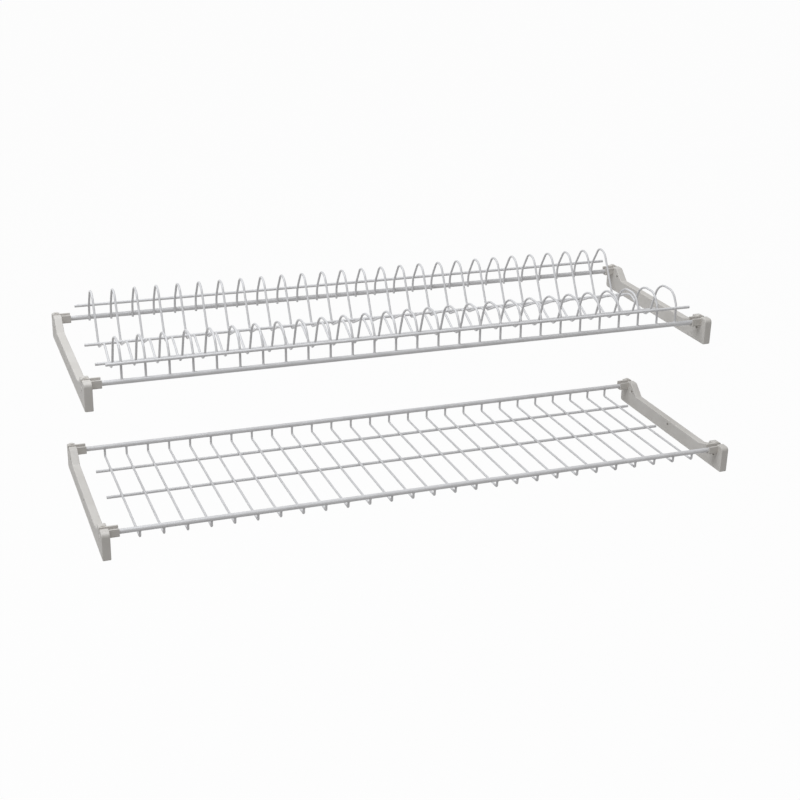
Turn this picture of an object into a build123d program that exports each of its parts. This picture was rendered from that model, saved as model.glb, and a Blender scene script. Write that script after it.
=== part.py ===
from build123d import *
from math import hypot, radians, sqrt, tan
import os

# A dish drainer that hangs inside a wall cabinet: a plate rack above a cup shelf.
# Each rack is a welded grid of coated steel wire on two thick rods. The rods drop
# into open seats on moulded plastic side brackets, and each bracket is screwed to
# a side wall of the cabinet. Lengths are millimetres. X runs along the racks, the
# front is towards -Y and +Z is up. The origin is the middle of the whole part's box.

# Cabinet opening and the place of the two racks, measured between front rod axes
opening_width = 864.0
rod_spacing = 256.0
shelf_forward = 75.0
shelf_below = 163.0

# Wire stock and the depth that one wire is pressed into another at a weld
rod_radius = 3.25
rail_radius = 2.0
wire_radius = 1.5
weld_bite = 0.2
wire_end_round = 0.6
bend_room_share = 0.498

# Spacing of the plate dividers and shelf wires along the rods
divider_count = 27
end_room = 48.5
shelf_wires_per_node = 3
rail_overhang = 19.0

# Rod ends stop short of the cabinet walls, and rods have running room in their seats
rod_end_gap = 0.5
seat_clearance = 0.3

# Bracket plate, seen from the side: front post, long bar and back hump
plate_thickness = 10.5
plate_front = 17.0
plate_back = 14.0
plate_drop = 28.8
front_bottom_round = 1.8
back_bottom_round = 5.0
back_top_round = 3.0
post_top = 7.8
post_front_round = 5.5
post_back = 17.0
post_foot = 19.0
post_step = 1.0
post_back_round = 2.5
bar_top_drop = 8.0
ramp_foot = 42.0
ramp_round = 12.0
hump_top = 7.5
hump_shoulder = 13.5
hump_foot = 31.4
hump_round = 4.5
hump_foot_round = 2.5
inner_edge_round = 1.0
outer_edge_round = 1.5

# Rod seat: a cradle on the inner side of the plate, its back lip and its thumb tab
seat_length = 13.0
seat_wall = 2.4
seat_floor = 1.6
seat_front_top = 5.9
seat_rear_top = 6.0
seat_kink_round = 2.5
lip_top = 6.4
tab_width = 9.0
tab_depth = 5.0
tab_bite = 0.5
tab_top = 7.5
tab_crown = 1.6
cut_overrun = 20.0

# Screw holes through the plate
screw_hole_radius = 2.25
front_screw_back = 4.0
front_screw_drop = 9.5
middle_screw_drop = 14.2
back_screw_drop = 4.3
back_screw_inset = 18.0

# Plate divider, from its back leg to its front leg. Places named from_back count
# forward from the back rod's axis, and the others count back from the front rod's.
leg_tip_drop = 3.5
leg_bend_height = 16.0
leg_bend_round = 30.0
back_crown_from_back = 24.0
back_crown_height = 46.5
back_crown_round = 13.0
back_fall_from_back = 41.5
back_fall_height = 43.5
back_fall_round = 17.0
back_trough_from_back = 77.3
back_trough_drop = 17.2
back_trough_round = 6.0
ridge_share = 0.425
ridge_height = 5.8
ridge_round = 25.0
front_trough_back = 94.0
front_trough_front = 80.4
front_trough_drop = 10.5
front_trough_back_round = 12.0
front_trough_front_round = 7.0
front_flare_back = 68.2
front_flare_drop = 1.3
front_flare_round = 12.0
front_crown_back = 52.0
front_crown_front = 13.4
front_crown_height = 44.2
front_crown_back_round = 27.0
front_crown_front_round = 18.5
front_leg_bend = 2.2
front_leg_bend_height = 27.0
front_leg_bend_round = 10.0
front_leg_end = 1.0

# Rails of the plate rack
top_rail_height = 18.0
front_rail_height = 23.5

# Cup shelf wires and rails
shelf_back_drop = 13.5
shelf_back_round = 2.5
shelf_front_drop = 10.5
shelf_hook_round = 2.5
shelf_hook_forward = 1.0
shelf_back_rail = 214.0
shelf_front_rail = 129.0

# Places that follow from the sizes above
half_width = opening_width / 2
plate_inner = half_width - plate_thickness
seat_inner = plate_inner - seat_length
seat_radius = rod_radius + seat_clearance
seat_outer = seat_radius + seat_wall
rod_length = opening_width - 2 * rod_end_gap
divider_pitch = (opening_width - 2 * end_room) / (divider_count - 1)
grid_half = (divider_count - 1) * divider_pitch / 2
rail_length = 2 * (grid_half + rail_overhang)
rod_contact = rod_radius + wire_radius - weld_bite
rail_contact = rail_radius + wire_radius - weld_bite

nodes = {}


def straight_wire(radius, length, y, z):
    """A round wire along X with softly rounded ends."""
    rod = extrude(Plane.YZ.offset(-length / 2) * Pos(y, z) * Circle(radius), amount=length)
    ends = rod.edges().filter_by(GeomType.CIRCLE)
    return fillet(ends, wire_end_round)


def fitting_bend(before, corner, after, bend):
    """That bend radius at a corner, or the largest that the runs beside it have room for."""
    arriving, leaving = corner - before, after - corner
    room = bend_room_share * min(arriving.length, leaving.length)
    return min(bend, room / tan(radians(arriving.get_angle(leaving)) / 2))


def bent_path(corners):
    """The centreline through (y, z, round) corners, with a bend of that radius at each."""
    points = [Vector(0, y, z) for y, z, bend in corners]
    asked = [bend for y, z, bend in corners[1:-1]]
    bends = [fitting_bend(*around) for around in zip(points, points[1:], points[2:], asked)]
    return FilletPolyline(*points, radius=bends)


def bent_wire(corners):
    """A round wire that lies in a plane across the rack and follows its corners."""
    path = bent_path(corners)
    section = Plane(origin=path @ 0, z_dir=path % 0) * Circle(wire_radius)
    return sweep(section, path=path)


def beside_leg(start, end, height):
    """Where a rail lies in front of the straight leg from start to end, at a height."""
    run, rise = end[0] - start[0], end[1] - start[1]
    on_leg = start[0] + run * (height - start[1]) / rise
    return on_leg - rail_contact * hypot(run, rise) / abs(rise)


def outside_bend(bend, height):
    """Where a rail lies behind a bend of a wire, at a height."""
    reach = bend.radius + rail_contact
    return bend.arc_center.Y + sqrt(reach ** 2 - (height - bend.arc_center.Z) ** 2)


def divider_corners():
    """Corners of one plate divider, from the tip behind the plates to the front rod."""
    back = rod_spacing
    back_trough = back - back_trough_from_back
    ridge = front_trough_back + ridge_share * (back_trough - front_trough_back)
    return [
        (back - rod_contact, -leg_tip_drop, 0),
        (back - rod_contact, leg_bend_height, leg_bend_round),
        (back - back_crown_from_back, back_crown_height, back_crown_round),
        (back - back_fall_from_back, back_fall_height, back_fall_round),
        (back_trough, -back_trough_drop, back_trough_round),
        (ridge, ridge_height, ridge_round),
        (front_trough_back, -front_trough_drop, front_trough_back_round),
        (front_trough_front, -front_trough_drop, front_trough_front_round),
        (front_flare_back, -front_flare_drop, front_flare_round),
        (front_crown_back, front_crown_height, front_crown_back_round),
        (front_crown_front, front_crown_height, front_crown_front_round),
        (front_leg_bend, front_leg_bend_height, front_leg_bend_round),
        (front_leg_end, rod_radius - weld_bite, 0),
    ]


def shelf_wire_corners():
    """Corners of one cup shelf wire, from under the back rod forward and up to the front."""
    back = rod_spacing - shelf_hook_forward
    weld = weld_bite - rod_radius
    return [
        (back, weld, 0),
        (back, -shelf_back_drop, shelf_back_round),
        (-shelf_hook_forward, -shelf_front_drop, shelf_hook_round),
        (-shelf_hook_forward, weld, 0),
    ]


def under_shelf(y):
    """The height of a rail's axis where it runs under the sloping shelf wires, at a y."""
    back, front = shelf_wire_corners()[1:3]
    run, rise = back[0] - front[0], back[1] - front[1]
    return front[1] + rise * (y - front[0]) / run - rail_contact * hypot(run, rise) / run


def grid_places():
    """The X places of the dividers and shelf wires, from left to right."""
    return [step * divider_pitch - grid_half for step in range(divider_count)]


def plate_outline():
    """The side view of the bracket plate, with a corner radius for each corner."""
    back = rod_spacing
    corners = [
        (-plate_front, -plate_drop, front_bottom_round),
        (back + plate_back, -plate_drop, back_bottom_round),
        (back + plate_back, seat_rear_top, back_top_round),
        (back + seat_radius, seat_rear_top, seat_kink_round),
        (back - seat_radius, hump_top, seat_kink_round),
        (back - hump_shoulder, hump_top, hump_round),
        (back - hump_foot, -bar_top_drop, hump_foot_round),
        (ramp_foot, -bar_top_drop, ramp_round),
        (post_foot, -post_step, post_back_round),
        (post_back, seat_rear_top, post_back_round),
        (seat_radius, seat_rear_top, seat_kink_round),
        (-seat_radius, post_top, seat_kink_round),
        (-plate_front, post_top, post_front_round),
    ]
    points = [(y, z) for y, z, bend in corners]
    bends = [bend for y, z, bend in corners]
    return make_face(FilletPolyline(*points, radius=bends, close=True))


def rod_seat(y):
    """The cradle, back lip and thumb tab that stand round one rod on the right bracket."""
    cradle_height = seat_front_top + seat_radius + seat_floor
    cradle = Pos((seat_inner + plate_inner) / 2, y, seat_front_top - cradle_height / 2) * Box(
        seat_length, 2 * seat_outer, cradle_height
    )
    cradle = fillet(cradle.edges().filter_by(Axis.X).group_by(Axis.Z)[0], seat_wall)
    lip_length = half_width - seat_inner
    lip = Pos((seat_inner + half_width) / 2, y + seat_outer - seat_wall / 2, lip_top / 2) * Box(
        lip_length, seat_wall, lip_top
    )
    lip = fillet(lip.faces().sort_by(Axis.X)[-1].edges().group_by(Axis.Z)[-1], outer_edge_round)
    crown_radius = ((tab_width / 2) ** 2 + tab_crown ** 2) / (2 * tab_crown)
    tab = Box(tab_width, tab_depth, tab_top, align=(Align.CENTER, Align.CENTER, Align.MAX))
    tab &= Pos(0, 0, -crown_radius) * Rot(90, 0, 0) * Cylinder(crown_radius, tab_depth)
    tab_middle = y + seat_outer - tab_bite + tab_depth / 2
    return cradle + lip + Pos((plate_inner + half_width) / 2, tab_middle, tab_top) * tab


def rod_slot(y):
    """The open-topped channel that a rod drops into, through the cradle and the plate."""
    reach = seat_length + plate_thickness + 2 * cut_overrun
    middle = (seat_inner + half_width) / 2
    groove = Pos(middle, y, 0) * Rot(0, 90, 0) * Cylinder(seat_radius, reach)
    throat = Pos(middle, y, cut_overrun / 2) * Box(reach, 2 * seat_radius, cut_overrun)
    return groove + throat


def screw_hole(y, z):
    """A round screw hole through the plate, along X."""
    reach = plate_thickness + 2 * cut_overrun
    return Pos((plate_inner + half_width) / 2, y, z) * Rot(0, 90, 0) * Cylinder(screw_hole_radius, reach)


def right_bracket():
    """One side bracket, for the right-hand wall of the cabinet."""
    plate = extrude(Plane.YZ.offset(plate_inner) * plate_outline(), amount=plate_thickness)
    plate = fillet(plate.faces().sort_by(Axis.X)[0].edges(), inner_edge_round)
    plate = fillet(plate.faces().sort_by(Axis.X)[-1].edges(), outer_edge_round)
    bracket = plate + rod_seat(0) + rod_seat(rod_spacing) - rod_slot(0) - rod_slot(rod_spacing)
    bracket -= screw_hole(front_screw_back, -front_screw_drop)
    bracket -= screw_hole(rod_spacing - back_screw_inset, -back_screw_drop)
    bracket -= screw_hole(rod_spacing / 2, -middle_screw_drop)
    return bracket


def place_brackets(rack, place):
    """A right bracket and its mirror image at one rack's place."""
    right = right_bracket()
    nodes[rack + "_right_bracket"] = [place * right]
    nodes[rack + "_left_bracket"] = [place * mirror(right, Plane.YZ)]


def plate_rack():
    """The upper rack: two rods, four rails and a row of dividers that hold plates on edge."""
    place = plate_rack_place
    corners = divider_corners()
    bends = bent_path(corners).edges().filter_by(GeomType.CIRCLE)
    leg_bend = bends.sort_by(Axis.Y)[-1]
    trough = bends.sort_by(Axis.Z)[0]
    trough_floor = trough.arc_center.Z - trough.radius
    nodes["plate_rack_back_rod"] = [place * straight_wire(rod_radius, rod_length, rod_spacing, 0)]
    nodes["plate_rack_front_rod"] = [place * straight_wire(rod_radius, rod_length, 0, 0)]
    rails = {
        "top": (outside_bend(leg_bend, top_rail_height), top_rail_height),
        "back_trough": (trough.arc_center.Y, trough_floor + rail_contact),
        "front_trough": ((front_trough_back + front_trough_front) / 2, rail_contact - front_trough_drop),
        "front": (beside_leg(corners[-2], corners[-1], front_rail_height), front_rail_height),
    }
    for name, (y, z) in rails.items():
        nodes["plate_rack_" + name + "_rail"] = [place * straight_wire(rail_radius, rail_length, y, z)]
    divider = bent_wire(corners)
    for number, x in enumerate(grid_places(), start=1):
        nodes[f"plate_divider_{number:02d}"] = [place * Pos(x, 0, 0) * divider]


def cup_rack():
    """The lower shelf: two rods, two rails and a row of cranked wires that carry cups."""
    place = cup_rack_place
    nodes["cup_rack_back_rod"] = [place * straight_wire(rod_radius, rod_length, rod_spacing, 0)]
    nodes["cup_rack_front_rod"] = [place * straight_wire(rod_radius, rod_length, 0, 0)]
    rails = {"back": shelf_back_rail, "front": shelf_front_rail}
    for name, y in rails.items():
        rail = straight_wire(rail_radius, rail_length, y, under_shelf(y))
        nodes["cup_rack_" + name + "_rail"] = [place * rail]
    wire = bent_wire(shelf_wire_corners())
    places = grid_places()
    for first in range(0, divider_count, shelf_wires_per_node):
        group = places[first:first + shelf_wires_per_node]
        name = f"shelf_wires_{first + 1:02d}_to_{first + len(group):02d}"
        nodes[name] = [place * Pos(x, 0, 0) * wire for x in group]


part_top = bent_path(divider_corners()).bounding_box().max.Z + wire_radius
part_bottom = -shelf_below - plate_drop
part_front = -shelf_forward - plate_front
part_back = rod_spacing + plate_back
plate_rack_place = Location((0, -(part_front + part_back) / 2, -(part_top + part_bottom) / 2))
cup_rack_place = plate_rack_place * Location((0, -shelf_forward, -shelf_below))

place_brackets("plate_rack", plate_rack_place)
place_brackets("cup_rack", cup_rack_place)
plate_rack()
cup_rack()

os.makedirs("parts", exist_ok=True)
for name, pieces in nodes.items():
    solids = [solid for piece in pieces for solid in piece.solids()]
    body = solids[0] if len(solids) == 1 else Compound(children=solids)
    export_step(body, os.path.join("parts", name + ".step"))
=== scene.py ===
from math import atan2, radians

import bpy
from mathutils import Matrix, Vector


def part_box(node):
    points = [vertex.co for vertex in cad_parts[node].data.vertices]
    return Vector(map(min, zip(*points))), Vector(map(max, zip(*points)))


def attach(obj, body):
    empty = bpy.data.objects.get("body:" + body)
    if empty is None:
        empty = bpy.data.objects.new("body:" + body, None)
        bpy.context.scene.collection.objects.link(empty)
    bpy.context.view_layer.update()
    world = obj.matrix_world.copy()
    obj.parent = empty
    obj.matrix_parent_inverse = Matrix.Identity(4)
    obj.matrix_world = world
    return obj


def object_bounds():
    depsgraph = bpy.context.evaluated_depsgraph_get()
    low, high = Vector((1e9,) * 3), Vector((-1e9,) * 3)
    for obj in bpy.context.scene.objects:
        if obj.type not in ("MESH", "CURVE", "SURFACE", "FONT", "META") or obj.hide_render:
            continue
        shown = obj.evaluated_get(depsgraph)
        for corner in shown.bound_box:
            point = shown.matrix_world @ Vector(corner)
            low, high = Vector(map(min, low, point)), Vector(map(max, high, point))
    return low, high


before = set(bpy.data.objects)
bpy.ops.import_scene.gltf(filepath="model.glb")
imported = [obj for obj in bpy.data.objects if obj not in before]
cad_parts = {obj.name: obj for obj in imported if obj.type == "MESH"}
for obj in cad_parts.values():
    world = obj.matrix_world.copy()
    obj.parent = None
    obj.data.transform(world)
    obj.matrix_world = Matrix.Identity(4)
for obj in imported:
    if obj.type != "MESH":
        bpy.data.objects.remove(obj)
cad_box = [list(corner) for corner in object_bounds()]

# Moulded side brackets, two for the plate rack and two for the cup shelf. Each is one
# injection moulding in warm light grey plastic, left matt by a spark-eroded mould, and
# is screwed to a side wall of the cabinet.
plastic_pale = (0.672, 0.640, 0.598, 1.0)
plastic_deep = (0.632, 0.600, 0.556, 1.0)
plastic_roughness_low = 0.44
plastic_roughness_high = 0.58
plastic_ior = 1.49
plastic_flow_per_metre = 22.0
plastic_flow_detail = 3.0
plastic_grain_per_metre = 1900.0
plastic_grain_detail = 2.0
plastic_grain_depth = 0.00006
tint_deep_stop = 0.35
tint_pale_stop = 0.65
pattern_floor = 0.3
pattern_ceiling = 0.7


def new_finish(name):
    """A node material, its node tree, its shader and the piece's own coordinates."""
    finish = bpy.data.materials.new(name)
    finish.use_nodes = True
    tree = finish.node_tree
    place = tree.nodes.new("ShaderNodeTexCoord")
    return finish, tree, tree.nodes["Principled BSDF"], place.outputs["Object"]


def add_noise(tree, place, per_metre, detail):
    """A noise pattern of that many features to the metre."""
    noise = tree.nodes.new("ShaderNodeTexNoise")
    noise.inputs["Scale"].default_value = per_metre
    noise.inputs["Detail"].default_value = detail
    tree.links.new(place, noise.inputs["Vector"])
    return noise.outputs["Fac"]


def tint(tree, shader, pattern, deep, pale):
    """Colour a shader by a pattern that blends two tints."""
    ramp = tree.nodes.new("ShaderNodeValToRGB")
    ramp.color_ramp.elements[0].position = tint_deep_stop
    ramp.color_ramp.elements[0].color = deep
    ramp.color_ramp.elements[1].position = tint_pale_stop
    ramp.color_ramp.elements[1].color = pale
    tree.links.new(pattern, ramp.inputs["Fac"])
    tree.links.new(ramp.outputs["Color"], shader.inputs["Base Color"])


def roughen(tree, shader, pattern, start, end):
    """Vary a shader's roughness by a pattern, from start to end."""
    spread = tree.nodes.new("ShaderNodeMapRange")
    spread.inputs["From Min"].default_value = pattern_floor
    spread.inputs["From Max"].default_value = pattern_ceiling
    spread.inputs["To Min"].default_value = start
    spread.inputs["To Max"].default_value = end
    tree.links.new(pattern, spread.inputs["Value"])
    tree.links.new(spread.outputs["Result"], shader.inputs["Roughness"])


def emboss(tree, shader, pattern, depth):
    """Raise a shader's surface by a pattern, to that depth in metres."""
    bump = tree.nodes.new("ShaderNodeBump")
    bump.inputs["Distance"].default_value = depth
    tree.links.new(pattern, bump.inputs["Height"])
    tree.links.new(bump.outputs["Normal"], shader.inputs["Normal"])


def cover(name, finish):
    """Give a CAD piece its finish."""
    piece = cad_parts[name]
    piece.data.materials.clear()
    piece.data.materials.append(finish)


moulded, tree, shader, place = new_finish("moulded_bracket_plastic")
flow = add_noise(tree, place, plastic_flow_per_metre, plastic_flow_detail)
tint(tree, shader, flow, plastic_deep, plastic_pale)
grain = add_noise(tree, place, plastic_grain_per_metre, plastic_grain_detail)
roughen(tree, shader, grain, plastic_roughness_low, plastic_roughness_high)
emboss(tree, shader, grain, plastic_grain_depth)
shader.inputs["IOR"].default_value = plastic_ior

for rack in ("plate_rack", "cup_rack"):
    for side in ("left", "right"):
        cover(f"{rack}_{side}_bracket", moulded)

# Thick rods, the back and front of each rack. Each is 6 mm steel under a satin white
# coating that was fused on in one go with the rest of its rack.
coat_pale = (0.738, 0.724, 0.720, 1.0)
coat_deep = (0.678, 0.664, 0.660, 1.0)
coat_roughness_low = 0.30
coat_roughness_high = 0.42
coat_ior = 1.52
coat_gloss = 0.12
coat_gloss_roughness = 0.25
coat_pool_per_metre = 45.0
coat_pool_detail = 4.0
coat_peel_per_metre = 420.0
coat_peel_detail = 2.0
coat_peel_depth = 0.00012


def coated_steel(name):
    """The racks' fused coating, which pools a little thicker in places along a wire."""
    finish, tree, shader, place = new_finish(name)
    pool = add_noise(tree, place, coat_pool_per_metre, coat_pool_detail)
    tint(tree, shader, pool, coat_deep, coat_pale)
    roughen(tree, shader, pool, coat_roughness_high, coat_roughness_low)
    peel = add_noise(tree, place, coat_peel_per_metre, coat_peel_detail)
    emboss(tree, shader, peel, coat_peel_depth)
    shader.inputs["IOR"].default_value = coat_ior
    shader.inputs["Coat Weight"].default_value = coat_gloss
    shader.inputs["Coat Roughness"].default_value = coat_gloss_roughness
    return finish


rod_coating = coated_steel("rod_coating")
for rack in ("plate_rack", "cup_rack"):
    for edge in ("back", "front"):
        cover(f"{rack}_{edge}_rod", rod_coating)

# Rails, 4 mm wires that run the length of a rack and are spot welded to every wire they
# cross. The plate rack has four and the cup shelf two.
rail_coating = coated_steel("rail_coating")
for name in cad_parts:
    if name.endswith("_rail"):
        cover(name, rail_coating)

# Plate dividers, 3 mm wires bent on a former into a tall back loop, a low ridge and a
# front loop, all alike and evenly spaced.
divider_coating = coated_steel("divider_coating")
divider_names = [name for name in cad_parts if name.startswith("plate_divider_")]
divider_names.sort()
for name in divider_names:
    cover(name, divider_coating)

# Cup shelf wires, 3 mm wires cranked down at the back rod, run flat under the cups and
# hooked up under the front rod.
shelf_coating = coated_steel("shelf_wire_coating")
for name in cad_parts:
    if name.startswith("shelf_wires_"):
        cover(name, shelf_coating)

# Weld nuggets, one wherever a wire crosses a rod or a rail. The two are pressed
# together hot, so a little steel squeezes out into the corner and the coating rounds
# it over.
nugget_radius = 0.0019
nugget_height = 0.0013
nugget_spread = 1.3
nugget_segments = 10
nugget_rings = 6
nugget_coating = coated_steel("nugget_coating")
# Each row's rack, its rod or rail, and the way from there to the wires as (back, up).
weld_rows = (
    ("plate_rack", "back_rod", (-1.0, 0.0)),
    ("plate_rack", "front_rod", (0.3, 1.0)),
    ("plate_rack", "top_rail", (-1.0, -0.34)),
    ("plate_rack", "back_trough_rail", (0.0, -1.0)),
    ("plate_rack", "front_trough_rail", (0.0, -1.0)),
    ("plate_rack", "front_rail", (1.0, 0.0)),
    ("cup_rack", "back_rod", (-0.3, -1.0)),
    ("cup_rack", "front_rod", (-0.3, -1.0)),
    ("cup_rack", "back_rail", (0.0, 1.0)),
    ("cup_rack", "front_rail", (0.0, 1.0)),
)


def middle(node):
    """The middle of a CAD node's box."""
    low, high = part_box(node)
    return (low + high) / 2


def spread_half(nugget, side, stretch):
    """Stretch the half of a nugget that lies on one side of its waist."""
    bpy.ops.mesh.select_all(action="DESELECT")
    bpy.ops.object.mode_set(mode="OBJECT")
    for point in nugget.data.vertices:
        point.select = point.co.z * side > nugget_height / nugget_rings
    bpy.ops.object.mode_set(mode="EDIT")
    bpy.ops.transform.resize(value=stretch)


def weld_row(rack, bar, towards):
    """Nuggets along a rod or rail, on the side of it that its wires touch."""
    low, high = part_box(f"{rack}_{bar}")
    reach = Vector((0, *towards)).normalized() * (high.z - low.z) / 2
    bpy.ops.object.select_all(action="DESELECT")
    bpy.ops.mesh.primitive_uv_sphere_add(
        segments=nugget_segments, ring_count=nugget_rings, radius=nugget_radius
    )
    nuggets = bpy.context.object
    nuggets.name = f"{rack}_{bar}_welds"
    bpy.ops.object.mode_set(mode="EDIT")
    bpy.ops.transform.resize(value=(1, 1, nugget_height / nugget_radius))
    spread_half(nuggets, -1, (nugget_spread, 1, 1))
    spread_half(nuggets, 1, (1, nugget_spread, 1))
    bpy.ops.mesh.select_all(action="SELECT")
    bpy.ops.mesh.normals_make_consistent(inside=False)
    bpy.ops.object.mode_set(mode="OBJECT")
    bpy.ops.object.shade_smooth()
    nuggets.rotation_euler = (atan2(-reach.y, reach.z), 0, 0)
    nuggets.location = middle(f"{rack}_{bar}") + reach
    nuggets.location.x = middle(divider_names[0]).x
    bpy.ops.object.transform_apply(location=True, rotation=True, scale=True)
    row = nuggets.modifiers.new("row", "ARRAY")
    row.count = len(divider_names)
    row.use_relative_offset = False
    row.use_constant_offset = True
    row.constant_offset_displace = middle(divider_names[1]) - middle(divider_names[0])
    bpy.ops.object.modifier_apply(modifier=row.name)
    nuggets.data.materials.append(nugget_coating)
    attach(nuggets, rack)


for rack, bar, towards in weld_rows:
    weld_row(rack, bar, towards)

# Floor, a plain pale sweep well below the rack, because the drainer hangs in a cabinet
# and stands on nothing. The camera sees it near white, with a trace of the rack's soft
# shadow.
floor_drop = 0.45
floor_size = 60.0
floor_grey = (0.55, 0.55, 0.55, 1.0)
floor_roughness = 0.9
floor_glow_share = 0.97
white = (1.0, 1.0, 1.0, 1.0)

bpy.ops.object.select_all(action="DESELECT")
floor_level = cad_box[0][2] - floor_drop
bpy.ops.mesh.primitive_plane_add(size=floor_size, location=(0, 0, floor_level))
floor = bpy.context.object
floor.name = "studio_floor"
floor_paint = bpy.data.materials.new("studio_floor_paint")
floor_paint.use_nodes = True
nodes, links = floor_paint.node_tree.nodes, floor_paint.node_tree.links
matt = nodes["Principled BSDF"]
matt.inputs["Base Color"].default_value = floor_grey
matt.inputs["Roughness"].default_value = floor_roughness
glow = nodes.new("ShaderNodeEmission")
glow.inputs["Color"].default_value = white
seen = nodes.new("ShaderNodeLightPath")
either = nodes.new("ShaderNodeMath")
either.operation = "MAXIMUM"
links.new(seen.outputs["Is Camera Ray"], either.inputs[0])
links.new(seen.outputs["Is Glossy Ray"], either.inputs[1])
share = nodes.new("ShaderNodeMath")
share.operation = "MULTIPLY"
share.inputs[1].default_value = floor_glow_share
links.new(either.outputs["Value"], share.inputs[0])
blend = nodes.new("ShaderNodeMixShader")
links.new(share.outputs["Value"], blend.inputs["Fac"])
links.new(matt.outputs["BSDF"], blend.inputs[1])
links.new(glow.outputs["Emission"], blend.inputs[2])
links.new(blend.outputs["Shader"], nodes["Material Output"].inputs["Surface"])
floor.data.materials.append(floor_paint)

# Studio light, one broad soft box above the rack and to its left, and an even glow from
# the room. The camera sees the room as white.
room_glow = 0.37
room_seen_glow = 1.0
top_box_watts = 51.0
top_box_tint = (0.91, 0.95, 1.0)
top_box_width = 2.2
top_box_depth = 2.0
top_box_spot = (-0.75, -0.1, 2.2)

world = bpy.data.worlds.new("studio_room")
bpy.context.scene.world = world
world.use_nodes = True
nodes, links = world.node_tree.nodes, world.node_tree.links
room = nodes["Background"]
room.inputs["Color"].default_value = white
room.inputs["Strength"].default_value = room_glow
room_seen = nodes.new("ShaderNodeBackground")
room_seen.inputs["Color"].default_value = white
room_seen.inputs["Strength"].default_value = room_seen_glow
seen = nodes.new("ShaderNodeLightPath")
blend = nodes.new("ShaderNodeMixShader")
links.new(seen.outputs["Is Camera Ray"], blend.inputs["Fac"])
links.new(room.outputs["Background"], blend.inputs[1])
links.new(room_seen.outputs["Background"], blend.inputs[2])
links.new(blend.outputs["Shader"], nodes["World Output"].inputs["Surface"])

lamp = bpy.data.lights.new("top_soft_box", "AREA")
lamp.shape = "RECTANGLE"
lamp.size = top_box_width
lamp.size_y = top_box_depth
lamp.energy = top_box_watts
lamp.color = top_box_tint
soft_box = bpy.data.objects.new("top_soft_box", lamp)
bpy.context.scene.collection.objects.link(soft_box)
soft_box.location = top_box_spot
soft_box.rotation_euler = (-Vector(top_box_spot)).to_track_quat("-Z", "Y").to_euler()

# Camera, to the left of the rack and a little above it, as the photograph was taken.
# Its turn, tip and roll are away from a level gaze straight at the rack's front.
image_width = 800.0
film_width = 36.0
focal_pixels = 1416.87
camera_spot = (-0.63680, -1.70345, 0.69775)
camera_turn = radians(20.829)
camera_tip = radians(21.825)
camera_roll = radians(1.457)
level_gaze = radians(90)

lens = bpy.data.cameras.new("photo_camera")
lens.sensor_width = film_width
lens.lens = focal_pixels / image_width * film_width
camera = bpy.data.objects.new("photo_camera", lens)
bpy.context.scene.collection.objects.link(camera)
turn = Matrix.Rotation(-camera_turn, 4, "Z")
tip = Matrix.Rotation(level_gaze - camera_tip, 4, "X")
roll = Matrix.Rotation(camera_roll, 4, "Z")
camera.matrix_world = Matrix.Translation(camera_spot) @ (turn @ tip) @ roll
bpy.context.scene.camera = camera
bpy.context.scene.view_settings.view_transform = "Standard"
